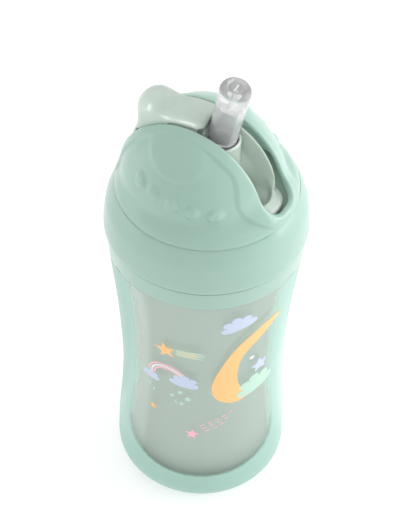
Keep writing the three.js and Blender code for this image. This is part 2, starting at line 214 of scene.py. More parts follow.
def rounded(points, steps=5):
    """An open chain of (r, z, radius) points with each corner rounded to its radius."""
    result = []
    for i, (r, z, radius) in enumerate(points):
        here = np.array([r, z], float)
        if radius <= 0 or i in (0, len(points) - 1):
            result.append(tuple(here))
            continue
        before, after = (np.array(points[j][:2], float) - here for j in (i - 1, i + 1))
        cut = min(radius, 0.45 * np.linalg.norm(before), 0.45 * np.linalg.norm(after))
        start = here + before / np.linalg.norm(before) * cut
        end = here + after / np.linalg.norm(after) * cut
        for t in np.linspace(0, 1, steps):
            result.append(tuple((1 - t) ** 2 * start + 2 * t * (1 - t) * here + t * t * end))
    return result


def turned(profile, segments=160, at=(0, 0)):
    """Vertices and faces of a closed body turned about a line along Z.

    The profile runs from axis to axis or closes on itself.
    """
    poles = profile[0][0] < 1e-6 and profile[-1][0] < 1e-6
    rows = profile[1:-1] if poles else profile
    angles = np.arange(segments) * 2 * math.pi / segments
    vertices = [
        (at[0] + r * math.cos(a), at[1] + r * math.sin(a), z) for r, z in rows for a in angles
    ]
    faces = []
    count = len(rows)
    for i in range(count - 1 if poles else count):
        for j in range(segments):
            k = (j + 1) % segments
            below, above = i * segments, (i + 1) % count * segments
            faces.append([below + j, below + k, above + k, above + j])
    if poles:
        first, last = len(vertices), len(vertices) + 1
        vertices += [(*at, profile[0][1]), (*at, profile[-1][1])]
        end = (count - 1) * segments
        for j in range(segments):
            k = (j + 1) % segments
            faces.append([first, k, j])
            faces.append([last, end + j, end + k])
    return vertices, faces


def outwards(vertices, faces):
    """The faces turned so that they face out of a closed body."""
    v = np.asarray(vertices, float)
    volume = 0
    for f in faces:
        for i in range(1, len(f) - 1):
            volume += np.dot(v[f[0]], np.cross(v[f[i]], v[f[i + 1]]))
    return vertices, faces if volume > 0 else [f[::-1] for f in faces]


def lathe(profile, segments=160, at=(0, 0)):
    return outwards(*turned(profile, segments, at))


def field_surface(field, corner, far_corner, step):
    """Vertices and quads of a field's zero level, by surface nets, drawn on to the level."""
    corner = np.array(corner, float)
    shape = np.ceil((np.array(far_corner) - corner) / step).astype(int) + 1
    grid = np.indices(shape).reshape(3, -1).T * step + corner
    value = field(grid).reshape(shape)
    inside = value < 0
    cubes = list(itertools.product((0, 1), repeat=3))
    count = sum(inside[tuple(slice(c, n - 1 + c) for c, n in zip(cube, shape))].astype(int) for cube in cubes)
    cells = np.argwhere((count > 0) & (count < 8))
    index = np.full(count.shape, -1)
    index[tuple(cells.T)] = np.arange(len(cells))
    total = np.zeros((len(cells), 3))
    number = np.zeros((len(cells), 1))
    for cube in cubes:
        for axis in range(3):
            if cube[axis]:
                continue
            start = np.array(cube)
            along = np.eye(3, dtype=int)[axis]
            a = value[tuple((cells + start).T)]
            b = value[tuple((cells + start + along).T)]
            crossing = (a < 0) != (b < 0)
            share = a / np.where(crossing, a - b, 1)
            total += np.where(crossing[:, None], start + share[:, None] * along, 0)
            number += crossing[:, None]
    vertices = corner + (cells + total / number) * step
    faces = []
    for axis in range(3):
        u, v = np.roll(np.eye(3, dtype=int), -axis - 1, axis=0)[:2]
        nearer = inside[tuple(slice(None, -1) if i == axis else slice(1, -1) for i in range(3))]
        farther = inside[tuple(slice(1, None) if i == axis else slice(1, -1) for i in range(3))]
        edges = np.argwhere(nearer != farther)
        solid_first = nearer[tuple(edges.T)]
        edges = edges + u + v
        quad = np.stack([index[tuple(e.T)] for e in (edges - u - v, edges - v, edges, edges - u)], 1)
        faces.extend(np.where(solid_first[:, None], quad, quad[:, ::-1]).tolist())
    for _ in range(3):
        h = 0.02
        slope = np.stack(
            [(field(vertices + h * e) - field(vertices - h * e)) / (2 * h) for e in np.eye(3)], 1
        )
        steepness = np.maximum((slope**2).sum(1), 0.2)
        move = np.clip(field(vertices) / steepness, -step / 2, step / 2)
        vertices = vertices - move[:, None] * slope
    return vertices, faces


# ---------- fields ----------


def union(a, b, k=0.01):
    """The smooth union of two distance fields, rounded by about k."""
    h = np.clip(0.5 + 0.5 * (b - a) / k, 0, 1)
    return b + (a - b) * h - k * h * (1 - h)


def common(a, b, k=0.01):
    return -union(-a, -b, k)


def cut(a, b, k=0.01):
    return -union(-a, b, k)


def rounded_box(p, q, radius):
    """Distance to a corner in two directions: p and q are distances past its two sides, negative inside."""
    a, b = p + radius, q + radius
    return np.hypot(np.maximum(a, 0), np.maximum(b, 0)) + np.minimum(np.maximum(a, b), 0) - radius


def ease(value, start, end):
    t = np.clip((value - start) / (end - start), 0, 1)
    return t * t * (3 - 2 * t)


def about_pivot(p):
    """Sideways, backward and upward distance from the cover's pivot, distance from its axis, and angle
    back from +Z."""
    x, y, z = (p - PIVOT).T
    return x, y, z, np.hypot(y, z), np.degrees(np.arctan2(y, z))


def straw_axis(p):
    """Distance along the leaning straw and out from its axis, and the two parts of that distance."""
    c, s = math.cos(LEAN["angle"]), math.sin(LEAN["angle"])
    x, y, z = p[:, 0], p[:, 1] - STRAW_Y, p[:, 2] - LEAN["z"]
    across = y * c + z * s
    return -y * s + z * c, np.hypot(x, across), x, across


def past(y, z, angle):
    """How far a point is behind the half plane from the pivot's axis at this angle."""
    a = math.radians(angle)
    return y * math.cos(a) - z * math.sin(a)


def relief(x, y, z):
    """Height of the lip along the slot and of the ovals on each cheek."""
    round_end = LIP["front"] * np.sqrt(np.clip(1 - ((LIP["widest"] - z) / LIP["drop"]) ** 2, 0, 1))
    sides = LIP["x"] + (LIP["front"] - LIP["x"]) * (1 - ease(z, LIP["widest"], LIP["narrow"]))
    wide = np.where(y < 0, np.where(z < LIP["widest"], round_end, sides), LIP["x"])
    height = LIP["rise"] * (1 - ease(np.abs(x), wide - LIP["edge"], wide + LIP["edge"]))
    turn = math.radians(PAD["turn"])
    a, b = y - PAD["at"][0], z - PAD["at"][1]
    along = (a * math.cos(turn) + b * math.sin(turn)) / PAD["size"][0]
    across = (b * math.cos(turn) - a * math.sin(turn)) / PAD["size"][1]
    pad = PAD["rise"] * (1 - ease(np.hypot(along, across), 0.8, 1.12))
    height = np.maximum(height, np.where(np.abs(x) > PAD["inner"], pad, 0))
    for toe_y, toe_z in TOES:
        reach = np.hypot(y - toe_y, z - toe_z) / TOE["r"]
        height = height + TOE["rise"] * (1 - ease(reach, 0.45, 1.1))
    return height


def dome_solid(p, inset):
    """The dome's ball standing on its shoulder, moved in by inset."""
    x, y, z, _, _ = about_pivot(p)
    ball = np.sqrt((x * DOME_R / DOME_X) ** 2 + y * y + z * z) - DOME_R + inset
    r = np.hypot(p[:, 0], p[:, 1])
    shoulder = rounded_box(
        r - SHOULDER["r"] + inset, p[:, 2] - SHOULDER["top"] + inset, SHOULDER["corner"] - inset
    )
    near_slot = (1 - ease(np.abs(x), *SLOT_BLEND["sideways"])) * ease(-y, *SLOT_BLEND["forwards"])
    return union(ball, shoulder, BLEND + SLOT_BLEND["more"] * near_slot)


def slot_field(p):
    x, y, z = p.T
    side = np.abs(x) - SLOT["half"]
    front = rounded_box(side, SLOT["front"] - z, SLOT["corner"])
    back = rounded_box(side, SLOT["back"] - z, SLOT["back_corner"])
    both = np.minimum(back, np.where(y < PIVOT[1] + SLOT_OVERLAP, front, FAR))
    return np.where(y < PIVOT[1], front, both)


def dome_field(p):
    x, y, z, _, _ = about_pivot(p)
    outside = dome_solid(p, 0) - relief(x, y, z) * ease(z, *RELIEF_FADE)
    body = cut(outside, dome_solid(p, DOME_WALL), 0.3)
    r = np.hypot(p[:, 0], p[:, 1])
    flange = rounded_box(r - FLANGE_R, p[:, 2] - DOME_LOW - DOME_FLANGE, 0.4)
    flange = common(flange, SHOULDER["r"] - DOME_FLANGE - r, 0.2)
    body = common(union(body, flange, 0.3), DOME_LOW - p[:, 2], 0.2)
    return cut(body, slot_field(p), SLOT["edge"])


def taper(angle):
    """Radius of the pad's top at an angle: level, then running down to the skin at the back."""
    drop = ease(angle, *TAPER)
    return COVER_PAD["r"] - (COVER_PAD["r"] - SKIN["outer"] + 0.3) * drop


def cover_field(p):
    x, y, z, r, angle = about_pivot(p)
    ball = np.sqrt(x * x + r * r)
    side = np.abs(x)
    skin = common(ball - SKIN["outer"], SKIN["inner"] - ball, 0.4)
    ends = common(-past(y, z, SKIN["front"]), past(y, z, SKIN["back"]), 0.5)
    skin = common(skin, common(side - SKIN["half"], ends, 0.5), 0.5)
    front_y = COVER_PAD["r"] * math.sin(math.radians(SKIN["front"]))
    plan = rounded_box(side - COVER_PAD["half"], front_y - y, COVER_PAD["corner"])
    pad = rounded_box(side - COVER_PAD["half"], r - taper(angle), COVER_PAD["edge"])
    pad = common(pad, plan, COVER_PAD["nose"])
    turn = math.radians(THUMB["angle"])
    thumb_y, thumb_z = THUMB["r"] * math.sin(turn), THUMB["r"] * math.cos(turn)
    off_ridge = (y - thumb_y) ** 2 + (z - thumb_z) ** 2
    reach = np.sqrt((x / THUMB["half"]) ** 2 + off_ridge / THUMB["radius"] ** 2)
    thumb = (reach - 1) * THUMB["radius"]
    block = common(union(pad, thumb, THUMB["blend"]), side - COVER_PAD["widest"], 1.2)
    block = common(common(block, past(y, z, TAPER[1] + 4), 0.5), SKIN["inner"] + 0.2 - ball, 0.2)
    roof = np.minimum(HOLLOW["r"], taper(angle) - HOLLOW["skin"])
    hollow = common(r - roof, side - HOLLOW["half"], 0.8)
    hollow = common(hollow, past(y, z, HOLLOW["back"]), 0.8)
    body = cut(union(skin, block, 0.8), hollow, 0.4)
    along = past(z, -y, -ARM["angle"])
    across = past(y, z, ARM["angle"])
    arm = common(np.abs(across) - ARM["half"], common(-along, along - SKIN["outer"] + 1, 0.3), 0.3)
    arm = common(union(arm, r - ARM["half"], 0.3), ball - SKIN["outer"] + 0.3, 0.3)
    thick = np.abs(side - (ARM["inner"] + ARM["outer"]) / 2) - (ARM["outer"] - ARM["inner"]) / 2
    arm = cut(common(arm, thick, 0.3), r - ARM["hole"], 0.2)
    return cut(union(body, arm, 0.3), straw_axis(p)[1] - STRAW_R - STRAW_CLEAR, 0.5)


def seat_field(p):
    x, y, z, r, angle = about_pivot(p)
    side = np.abs(x)
    height = p[:, 2]
    ball = DRUM["ball"] + (APRON["ball"] - DRUM["ball"]) * ease(-angle, 87, 93)
    plan = rounded_box(side - DRUM["half"], APRON["front"] - p[:, 1], APRON["corner"])
    drum = common(plan, np.sqrt(x * x + r * r) - ball, 0.7)
    trough = rounded_box(side - DRUM["room"], TROUGH["floor"] - r, TROUGH["fillet"])
    trough = common(common(trough, past(y, z, TROUGH["back"]), 0.5), PIT["floor"] - height, PIT["fillet"])
    front_lip = common(p[:, 1] - FRONT_LIP["y"], height - FRONT_LIP["top"], FRONT_LIP["edge"])
    trough = cut(trough, front_lip, FRONT_LIP["fillet"])
    behind = common(BACK_ROOM["front"] - y, BACK_ROOM["low"] - height, 0.4)
    room = common(common(r - BACK_ROOM["r"], side - DRUM["room"], 0.4), behind, 0.4)
    straw = np.hypot(p[:, 0], p[:, 1] - STRAW_Y)
    collar = common(straw - COLLAR["r"], np.sqrt(x * x + r * r) - COLLAR["ball"], 0.5)
    slope = math.radians(COLLAR["slope"])
    rim = (p[:, 1] - STRAW_Y) * math.sin(slope) + (height - COLLAR["rim"]) * math.cos(slope)
    collar = common(collar, rim, 0.5)
    body = union(cut(cut(drum, trough, 0.5), room, 0.3), common(collar, PLATE_LOW - height, 0.2), 1.0)
    pins = common(side - ARM["outer"] - PIN_END, DRUM["room"] - side, 0.3)
    pins = common(r - TRUNNION_R, pins, 0.3)
    body = union(body, pins, 0.3)
    plate = np.abs(height - (PLATE_LOW + PLATE_TOP) / 2) - PLATE_THICK / 2
    plate = common(np.hypot(p[:, 0], p[:, 1]) - PLATE_R, plate, 0.4)
    body = union(common(body, PLATE_TOP - 0.6 - height, 0.1), plate, 0.6)
    vent = np.hypot(p[:, 0] - VENT[0], p[:, 1] - VENT[1]) - VENT_R
    body = cut(cut(body, straw - COLLAR["bore"], 0.5), vent, 0.2)
    return common(body, PLATE_LOW - height, 0.1)


def mouthpiece_field(p):
    along, r, x, across = straw_axis(p)
    end = LEAN["length"]
    flare = STRAW_FLARE["more"] * ease(along, STRAW_FLARE["from"], STRAW_FLARE["to"])
    body = rounded_box(r - (STRAW_R + flare), along - end, TIP["edge"])
    body = common(body, -along, 0.2)
    groove = np.hypot(r - TIP["groove"], along - end) - TIP["groove_r"]
    dish = np.hypot(r, along - end - DISH["above"]) - DISH["r"]
    bore = rounded_box(r - STRAW_BORE, along - end + TIP["solid"], 1.4)
    slit = common(np.abs(x) - TIP["slit"], np.abs(across) - TIP["slit_half"], 0.1)
    body = cut(cut(body, common(dish, r - DISH["rim"], 0.3), 0.3), groove, 0.3)
    return cut(cut(body, bore, 0.2), slit, 0.15)


# ---------- materials ----------


def linear(red, green, blue):
    """A colour given in steps of 0 to 255 on a screen, as linear light."""
    def one(value):
        share = value / 255
        return share / 12.92 if share <= 0.04045 else ((share + 0.055) / 1.055) ** 2.4
    return (one(red), one(green), one(blue), 1)


def new_material(name):
    material = bpy.data.materials.new(name)
    material.use_nodes = True
    tree = material.node_tree
    return material, tree, tree.nodes["Principled BSDF"]


def mottle(tree, first, second, scale):
    """Two near colours mixed by soft noise on the piece's own coordinates."""
    place = tree.nodes.new("ShaderNodeTexCoord")
    noise = tree.nodes.new("ShaderNodeTexNoise")
    noise.inputs["Scale"].default_value = scale
    noise.inputs["Detail"].default_value = 2
    tree.links.new(place.outputs["Object"], noise.inputs["Vector"])
    mix = tree.nodes.new("ShaderNodeMix")
    mix.data_type = "RGBA"
    tree.links.new(noise.outputs["Fac"], mix.inputs["Factor"])
    mix.inputs["A"].default_value = first
    mix.inputs["B"].default_value = second
    return mix.outputs["Result"]


def grain(tree, shader, scale, distance):
    """A very shallow surface texture."""
    place = tree.nodes.new("ShaderNodeTexCoord")
    noise = tree.nodes.new("ShaderNodeTexNoise")
    noise.inputs["Scale"].default_value = scale
    bump = tree.nodes.new("ShaderNodeBump")
    bump.inputs["Strength"].default_value = 0.4
    bump.inputs["Distance"].default_value = distance
    tree.links.new(place.outputs["Object"], noise.inputs["Vector"])
    tree.links.new(noise.outputs["Fac"], bump.inputs["Height"])
    tree.links.new(bump.outputs["Normal"], shader.inputs["Normal"])


def plastic(name, first, second, roughness, coat=0.0, glow=0.0):
    material, tree, shader = new_material(name)
    colour = mottle(tree, linear(*first), linear(*second), 30)
    tree.links.new(colour, shader.inputs["Base Color"])
    shader.inputs["Roughness"].default_value = roughness
    shader.inputs["Coat Weight"].default_value = coat
    shader.inputs["Coat Roughness"].default_value = 0.08
    shader.inputs["Subsurface Weight"].default_value = glow
    shader.inputs["Subsurface Radius"].default_value = (1, 1, 1)
    shader.inputs["Subsurface Scale"].default_value = 0.002
    grain(tree, shader, 400, 0.00002)
    return material


def math_node(tree, operation, *inputs):
    """The output of a maths node fed by numbers and by other nodes."""
    node = tree.nodes.new("ShaderNodeMath")
    node.operation = operation
    for socket, value in zip(node.inputs, inputs):
        if isinstance(value, bpy.types.NodeSocket):
            tree.links.new(value, socket)
        else:
            socket.default_value = value
    return node.outputs["Value"]


def map_range(tree, value, given, wanted):
    node = tree.nodes.new("ShaderNodeMapRange")
    node.inputs["From Min"].default_value, node.inputs["From Max"].default_value = given
    node.inputs["To Min"].default_value, node.inputs["To Max"].default_value = wanted
    tree.links.new(value, node.inputs["Value"])
    return node.outputs["Result"]


def mix_shaders(tree, share, first, second):
    node = tree.nodes.new("ShaderNodeMixShader")
    tree.links.new(share, node.inputs["Fac"])
    tree.links.new(first, node.inputs[1])
    tree.links.new(second, node.inputs[2])
    return node.outputs["Shader"]


SHELL_GLOSS = (0.05, 0.35)   # of the see-through part, head on and at its outline
TINT_FROM = (0.62, 0.7)      # how far from facing the eye the shell takes on its own colour
TINT_SHARE = (0.04, 0.97)    # how much of it there is in the window and outside it
FOOT = {"top": CUP_CORNER[1] + 0.9, "fade": 5.5, "tint": 0.335}   # below its top the shell is all colour
UNSEEN = 0.92                # lost of the colour in shadows and on the far side of the wall


def tint_share(tree, facing):
    """Share of the shell's own colour, by the angle it is seen at and by height."""
    place = tree.nodes.new("ShaderNodeTexCoord")
    split = tree.nodes.new("ShaderNodeSeparateXYZ")
    tree.links.new(place.outputs["Object"], split.inputs["Vector"])
    per_metre = -1 / (FOOT["fade"] * MM)
    depth = math_node(tree, "MULTIPLY_ADD", split.outputs["Z"], per_metre, FOOT["top"] / FOOT["fade"])
    foot = math_node(tree, "EXPONENT", depth)
    outline = math_node(tree, "MULTIPLY_ADD", foot, FOOT["tint"], facing)
    tint = map_range(tree, outline, TINT_FROM, TINT_SHARE)
    path = tree.nodes.new("ShaderNodeLightPath")
    sides = tree.nodes.new("ShaderNodeNewGeometry")
    unseen = math_node(tree, "MAXIMUM", path.outputs["Is Shadow Ray"], sides.outputs["Backfacing"])
    return math_node(tree, "MULTIPLY", tint, math_node(tree, "MULTIPLY_ADD", unseen, -UNSEEN, 1))


def clear_shell(name, clear, edge, body):
    """Tinted clear plastic: see-through over the inner cup, and the colour of its own thickness at its
    outline and at the foot."""
    material, tree, shader = new_material(name)
    colour = mottle(tree, linear(*edge), linear(*body), 25)
    tree.links.new(colour, shader.inputs["Base Color"])
    shader.inputs["Roughness"].default_value = 0.35
    shader.inputs["Specular IOR Level"].default_value = 0.08
    see = tree.nodes.new("ShaderNodeBsdfTransparent")
    see.inputs["Color"].default_value = linear(*clear)
    mirror = tree.nodes.new("ShaderNodeBsdfGlossy")
    mirror.inputs["Roughness"].default_value = 0.08
    weight = tree.nodes.new("ShaderNodeLayerWeight")
    weight.inputs["Blend"].default_value = 0.5
    facing = weight.outputs["Facing"]
    gloss = map_range(tree, math_node(tree, "POWER", facing, 4), (0, 1), SHELL_GLOSS)
    window = mix_shaders(tree, gloss, see.outputs["BSDF"], mirror.outputs["BSDF"])
    surface = mix_shaders(tree, tint_share(tree, facing), window, shader.outputs["BSDF"])
    tree.links.new(surface, tree.nodes["Material Output"].inputs["Surface"])
    return material


def silicone(name, first, second, roughness, transmission):
    material, tree, shader = new_material(name)
    colour = mottle(tree, linear(*first), linear(*second), 60)
    tree.links.new(colour, shader.inputs["Base Color"])
    shader.inputs["Roughness"].default_value = roughness
    shader.inputs["IOR"].default_value = 1.41
    shader.inputs["Transmission Weight"].default_value = transmission
    grain(tree, shader, 300, 0.00002)
    return material


MINT = plastic("mint_plastic", (154, 187, 174), (158, 190, 177), 0.3, 0.3, 0.3)
PALE = plastic("pale_plastic", (164, 177, 168), (168, 181, 172), 0.22, 0.0, 0.4)
CUP = plastic("cup_plastic", (178, 184, 179), (182, 189, 184), 0.5)
SHELL = clear_shell("shell_clear", (249, 252, 250), (156, 189, 177), (160, 193, 182))
STRAW = silicone("straw_silicone", (244, 244, 245), (238, 238, 239), 0.16, 0.76)
SOFT = silicone("soft_silicone", (228, 231, 229), (220, 224, 222), 0.45, 0.0)
INKS = {
    "orange": plastic("ink_orange", (253, 199, 133), (250, 194, 128), 0.5),
    "pink": plastic("ink_pink", (248, 190, 200), (244, 184, 196), 0.5),
    "lavender": plastic("ink_lavender", (203, 212, 232), (192, 203, 228), 0.5),
    "mint": plastic("ink_mint", (190, 220, 205), (184, 216, 200), 0.5),
    "white": plastic("ink_white", (236, 240, 244), (228, 234, 240), 0.5),
}


# ---------- cup ----------


def corner(foot_r, foot_z, at, steps=10):
    """A quarter ellipse from a flat foot up to a side wall."""
    angles = np.linspace(0, math.pi / 2, steps)
    return [
        (foot_r + (at[0] - foot_r) * math.sin(t), at[1] - (at[1] - foot_z) * math.cos(t)) for t in angles
    ]


def wall_curve(corner_at, side, inset, below=None):
    """The side wall from its corner up, moved in by inset, and stopped at a height."""
    points = [(r - inset, z) for r, z in spline([corner_at, *side], 7)][1:]
    if below is None:
        return points
    kept = [q for q in points if q[1] < below - 0.3]
    heights, radii = [z for _, z in points], [r for r, _ in points]
    return kept + [(float(np.interp(below, heights, radii)), below)]


SHELL_CURVE = wall_curve(SHELL_CORNER, SHELL_SIDE, 0)


def shell_radius(z):
    return np.interp(z, [q[1] for q in SHELL_CURVE], [q[0] for q in SHELL_CURVE])


def build_shell():
    top = BAND_LOW - 0.3
    outside = corner(FOOT_R, 0, SHELL_CORNER, 14) + wall_curve(SHELL_CORNER, SHELL_SIDE, 0, top)
    inner_corner = (SHELL_CORNER[0] - WALL, SHELL_CORNER[1])
    inside = corner(FOOT_R, WALL, inner_corner, 12) + wall_curve(SHELL_CORNER, SHELL_SIDE, WALL, top)
    dished = [(0, 0.5), (17.5, 0.5), (18.3, 0.35), (19, 0.08), (19.8, 0)]
    profile = dished + outside + inside[::-1] + [(0, WALL + 0.4)]
    thing = mesh_object("outer_shell_looks", *lathe(profile, 192))
    finish_piece(thing, SHELL, "cup", "shell_clear", "outer_shell")


def build_band():
    top = BAND_TOP - BAND_SEAM
    middle = (BAND_LOW + BAND_TOP) / 2
    outside = [q for q in SHELL_CURVE if BAND_LOW + 0.6 < q[1] < top - 0.4]
    foot, head = float(shell_radius(BAND_LOW)), float(shell_radius(top))
    profile = rounded([
        (BAND_BORE, middle, 0), (BAND_BORE, BAND_LOW, 0.3), (foot, BAND_LOW, 0.35), (*outside[0], 0),
    ]) + outside[1:-1] + rounded([
        (*outside[-1], 0), (head, top, 0.3), (BAND_BORE, top, 0.3), (BAND_BORE, middle + 1, 0),
    ])
    thing = mesh_object("neck_band_looks", *lathe(profile, 192))
    finish_piece(thing, MINT, "cup", "mint", "neck_band")


def thread(radius, start_z, phase):
    """A round thread ridge that thins out at both ends."""
    steps, sides = 60, 12
    vertices, faces = [], []
    for i in range(steps + 1):
        t = i / steps
        a = phase + t * THREAD["turns"] * 2 * math.pi
        size = THREAD["r"] * min(1, 0.15 + 8 * min(t, 1 - t))
        for j in range(sides):
            b = 2 * math.pi * j / sides
            r = radius + size * math.cos(b)
            z = start_z + t * THREAD["turns"] * THREAD["lead"] + size * math.sin(b)
            vertices.append((r * math.cos(a), r * math.sin(a), z))
    for i in range(steps):
        for j in range(sides):
            k = (j + 1) % sides
            faces.append([i * sides + j, i * sides + k, (i + 1) * sides + k, (i + 1) * sides + j])
    faces.append(list(range(sides))[::-1])
    faces.append([steps * sides + j for j in range(sides)])
    return outwards(vertices, faces)


def build_cup():
    top = high("inner_cup")[2]
    bottom = low("inner_cup")[2]
    side = wall_curve(CUP_CORNER, CUP_SIDE, 0)
    inner_side = wall_curve(CUP_CORNER, CUP_SIDE, CUP_WALL)
    outer = corner(CUP_FOOT_R, bottom, CUP_CORNER, 12) + side
    neck = rounded([
        (*side[-1], 0), *[(r, z, 0.3) for r, z in CUP_STEP], (CUP_NECK, top, 0.5),
        (CUP_BORE, top, 0.5), (CUP_BORE, CUP_BORE_FOOT, 0.6), (*inner_side[-1], 0),
    ])
    inner_corner = (CUP_CORNER[0] - CUP_WALL, CUP_CORNER[1])
    inner = corner(CUP_FOOT_R, bottom + CUP_WALL, inner_corner, 12) + inner_side
    floor = bottom + CUP_WALL
    profile = [
        (0, bottom), (CUP_FLAT_R, bottom), *outer[:-1], *neck,
        *inner[::-1][1:], (CUP_FLAT_R, floor), (0, floor),
    ]
    ridges = [thread(CUP_NECK, THREAD["low"], phase) for phase in (0, math.pi)]
    thing = mesh_object("inner_cup_looks", *merge(lathe(profile, 160), *ridges))
    finish_piece(thing, CUP, "cup", "cup_pale", "inner_cup")


# ---------- lid ----------


def build_ring():
    outside = spline([(RING_FOOT_R, RING_LOW), *RING_SIDE], 6)
    profile = rounded([
        (RING_BORE, 141, 0), (RING_BORE, RING_LOW, 0.3), (RING_FOOT_R, RING_LOW, 0.3), (*outside[4], 0),
    ])
    profile += outside[5:-1]
    profile += rounded([(*outside[-1], 0), *RING_INSIDE])
    start = THREAD["low"] - THREAD["lead"] / 4
    ridges = [thread(RING_BORE + 0.1, start, phase) for phase in (math.pi / 2, 1.5 * math.pi)]
    thing = mesh_object("lid_ring_looks", *merge(lathe(profile, 192), *ridges))
    finish_piece(thing, MINT, "ring", "mint", "lid_ring")


def build_dome():
    step = 0.45
    reach = FLANGE_R + 1.2
    top = PIVOT[2] + DOME_R + 1.5
    surface = field_surface(dome_field, (-reach, -reach, DOME_LOW - 1.2), (reach, reach, top), step)
    finish_piece(mesh_object("lid_dome_looks", *surface, 60), MINT, "lid", "mint", "lid_dome")


def build_seat():
    step = 0.5
    reach = PLATE_R + 1.2
    top = high("straw_seat")[2]
    surface = field_surface(seat_field, (-reach, -reach, PLATE_LOW - 1.2), (reach, reach, top + 1.2), step)
    finish_piece(mesh_object("straw_seat_looks", *surface, 60), PALE, "lid", "cover_pale", "straw_seat")


def build_cover():
    step = 0.45
    corner_low, corner_high = low("slider_cover") - 1.5, high("slider_cover") + 1.5
    surface = field_surface(cover_field, corner_low, corner_high, step)
    finish_piece(mesh_object("slider_cover_looks", *surface, 60), PALE, "cover", "cover_pale", "slider_cover")


def build_seals():
    gasket_low, gasket_high = low("lid_gasket"), high("lid_gasket")
    outer, inner = gasket_high[0], gasket_high[0] - 3.5
    bottom, top = gasket_low[2], gasket_high[2]
    middle = (bottom + top) / 2
    profile = rounded([
        (inner, middle, 0), (inner, bottom, 0.4), (outer, bottom, 0.4),
        (outer, top, 0.4), (inner, top, 0.4), (inner, middle + 0.2, 0),
    ])
    gasket = mesh_object("lid_gasket_looks", *lathe(profile, 128))
    finish_piece(gasket, SOFT, "lid", "silicone_white", "lid_gasket")
    under, over = PLATE_LOW - 0.3, PLATE_TOP + 0.3
    profile = rounded([
        (0, under - 1.2, 0), (3.2, under - 1.0, 0.8), (4.2, under - 0.4, 0.2), (4.2, under, 0.1),
        (1.5, under, 0.2), (1.5, over, 0.2), (2.4, over, 0.1), (2.4, over + 0.8, 0.3), (0, over + 1.4, 0),
    ])
    vent = mesh_object("vent_valve_looks", *lathe(profile, 48, VENT))
    finish_piece(vent, SOFT, "lid", "silicone_white", "vent_valve")


# ---------- straw ----------


def build_mouthpiece():
    tip = high("mouthpiece")
    start = (-7, low("mouthpiece")[1] - 1, LEAN["z"] - 3)
    surface = field_surface(mouthpiece_field, start, (7, tip[1] + 1, tip[2] + 1), 0.3)
    mouthpiece = mesh_object("mouthpiece_looks", *surface, 60)
    finish_piece(mouthpiece, STRAW, "lid", "silicone_clear", "mouthpiece")
    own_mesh(mouthpiece)


def build_base():
    """The stem under the collar, its flange and the socket for the tube."""
    flange_top = PLATE_LOW - 0.3
    flange_low = flange_top - STEM_FLANGE["thick"]
    flange_r = STEM_FLANGE["r"]
    join = 165               # where the profile closes on itself, up the bore
    foot = low("mouthpiece_base")[2]
    socket = TUBE["r"] + 0.3
    socket_top = high("straw_tube")[2] + 0.3
    profile = rounded([
        (STRAW_BORE, join, 0), (STRAW_BORE, socket_top, 0.2), (socket, socket_top, 0.2),
        (socket, foot, 0.3), (STRAW_R, foot, 0.5), (STRAW_R, flange_low, 0.6),
        (flange_r, flange_low, 0.4), (flange_r, flange_top, 0.4), (STRAW_R, flange_top, 0.4),
        (STRAW_R, STEM_TOP, 0.5), (STRAW_BORE, STEM_TOP, 0.5), (STRAW_BORE, join + 1, 0),
    ])
    base = mesh_object("mouthpiece_base_looks", *lathe(profile, 64, (0, STRAW_Y)))
    finish_piece(base, STRAW, "lid", "silicone_clear", "mouthpiece_base")


def build_tube():
    bottom, top = low("straw_tube")[2], high("straw_tube")[2]
    join = 70
    profile = rounded([
        (TUBE["bore"], join, 0), (TUBE["bore"], bottom, 0.3), (TUBE["r"], bottom, 0.3),
        (TUBE["r"], top, 0.3), (TUBE["bore"], top, 0.3), (TUBE["bore"], join + 2, 0),
    ])
    tube = mesh_object("straw_tube_looks", *lathe(profile, 64, (0, STRAW_Y)))
    finish_piece(tube, STRAW, "lid", "silicone_clear", "straw_tube")


# ---------- print on the shell ----------

PRINT_R = 33.0               # artwork is drawn flat, this far out
INK_FOOT = 0.03              # the inks start this far off the wall, and end as far off it as their lift
INK_LIFT = {"orange": 0.13, "pink": 0.15, "white": 0.17, "lavender": 0.19, "mint": 0.21}


def on_wall(s, z, lift):
    """A point of the flat artwork wrapped on to the shell's outside."""
    angle = s / PRINT_R
    r = float(shell_radius(z)) + lift
    return (r * math.sin(angle), -r * math.cos(angle), z)


def wrap(outline, lift, grid=1.6):
    """A closed thin slab of ink in the shape of a flat outline."""
    ring = [Vector(q) for q in outline]
    lowest, highest = np.min(outline, 0), np.max(outline, 0)
    inner = [
        Vector((s, z))
        for s in np.arange(lowest[0] + grid / 2, highest[0], grid)
        for z in np.arange(lowest[1] + grid / 2, highest[1], grid)
    ]
    edges = [(i, (i + 1) % len(ring)) for i in range(len(ring))]
    points, _, faces, _, _, _ = delaunay_2d_cdt(ring + inner, edges, [], 2, 1e-4)
    used = sorted({i for f in faces for i in f})
    number = {old: new for new, old in enumerate(used)}
    flat = [points[i] for i in used]
    faces = [[number[i] for i in f] for f in faces]
    faces = [f if area(flat, f) > 0 else f[::-1] for f in faces]
    count = len(flat)
    vertices = [on_wall(*q, height) for height in (lift, INK_FOOT) for q in flat]
    sides = {}
    for f in faces:
        for a, b in zip(f, f[1:] + f[:1]):
            if (b, a) in sides:
                del sides[(b, a)]
            else:
                sides[(a, b)] = True
    result = faces + [[i + count for i in f[::-1]] for f in faces]
    result += [[b, a, a + count, b + count] for a, b in sides]
    return outwards(vertices, result)


def area(points, face):
    total = 0
    for a, b in zip(face, face[1:] + face[:1]):
        total += points[a][0] * points[b][1] - points[b][0] * points[a][1]
    return total


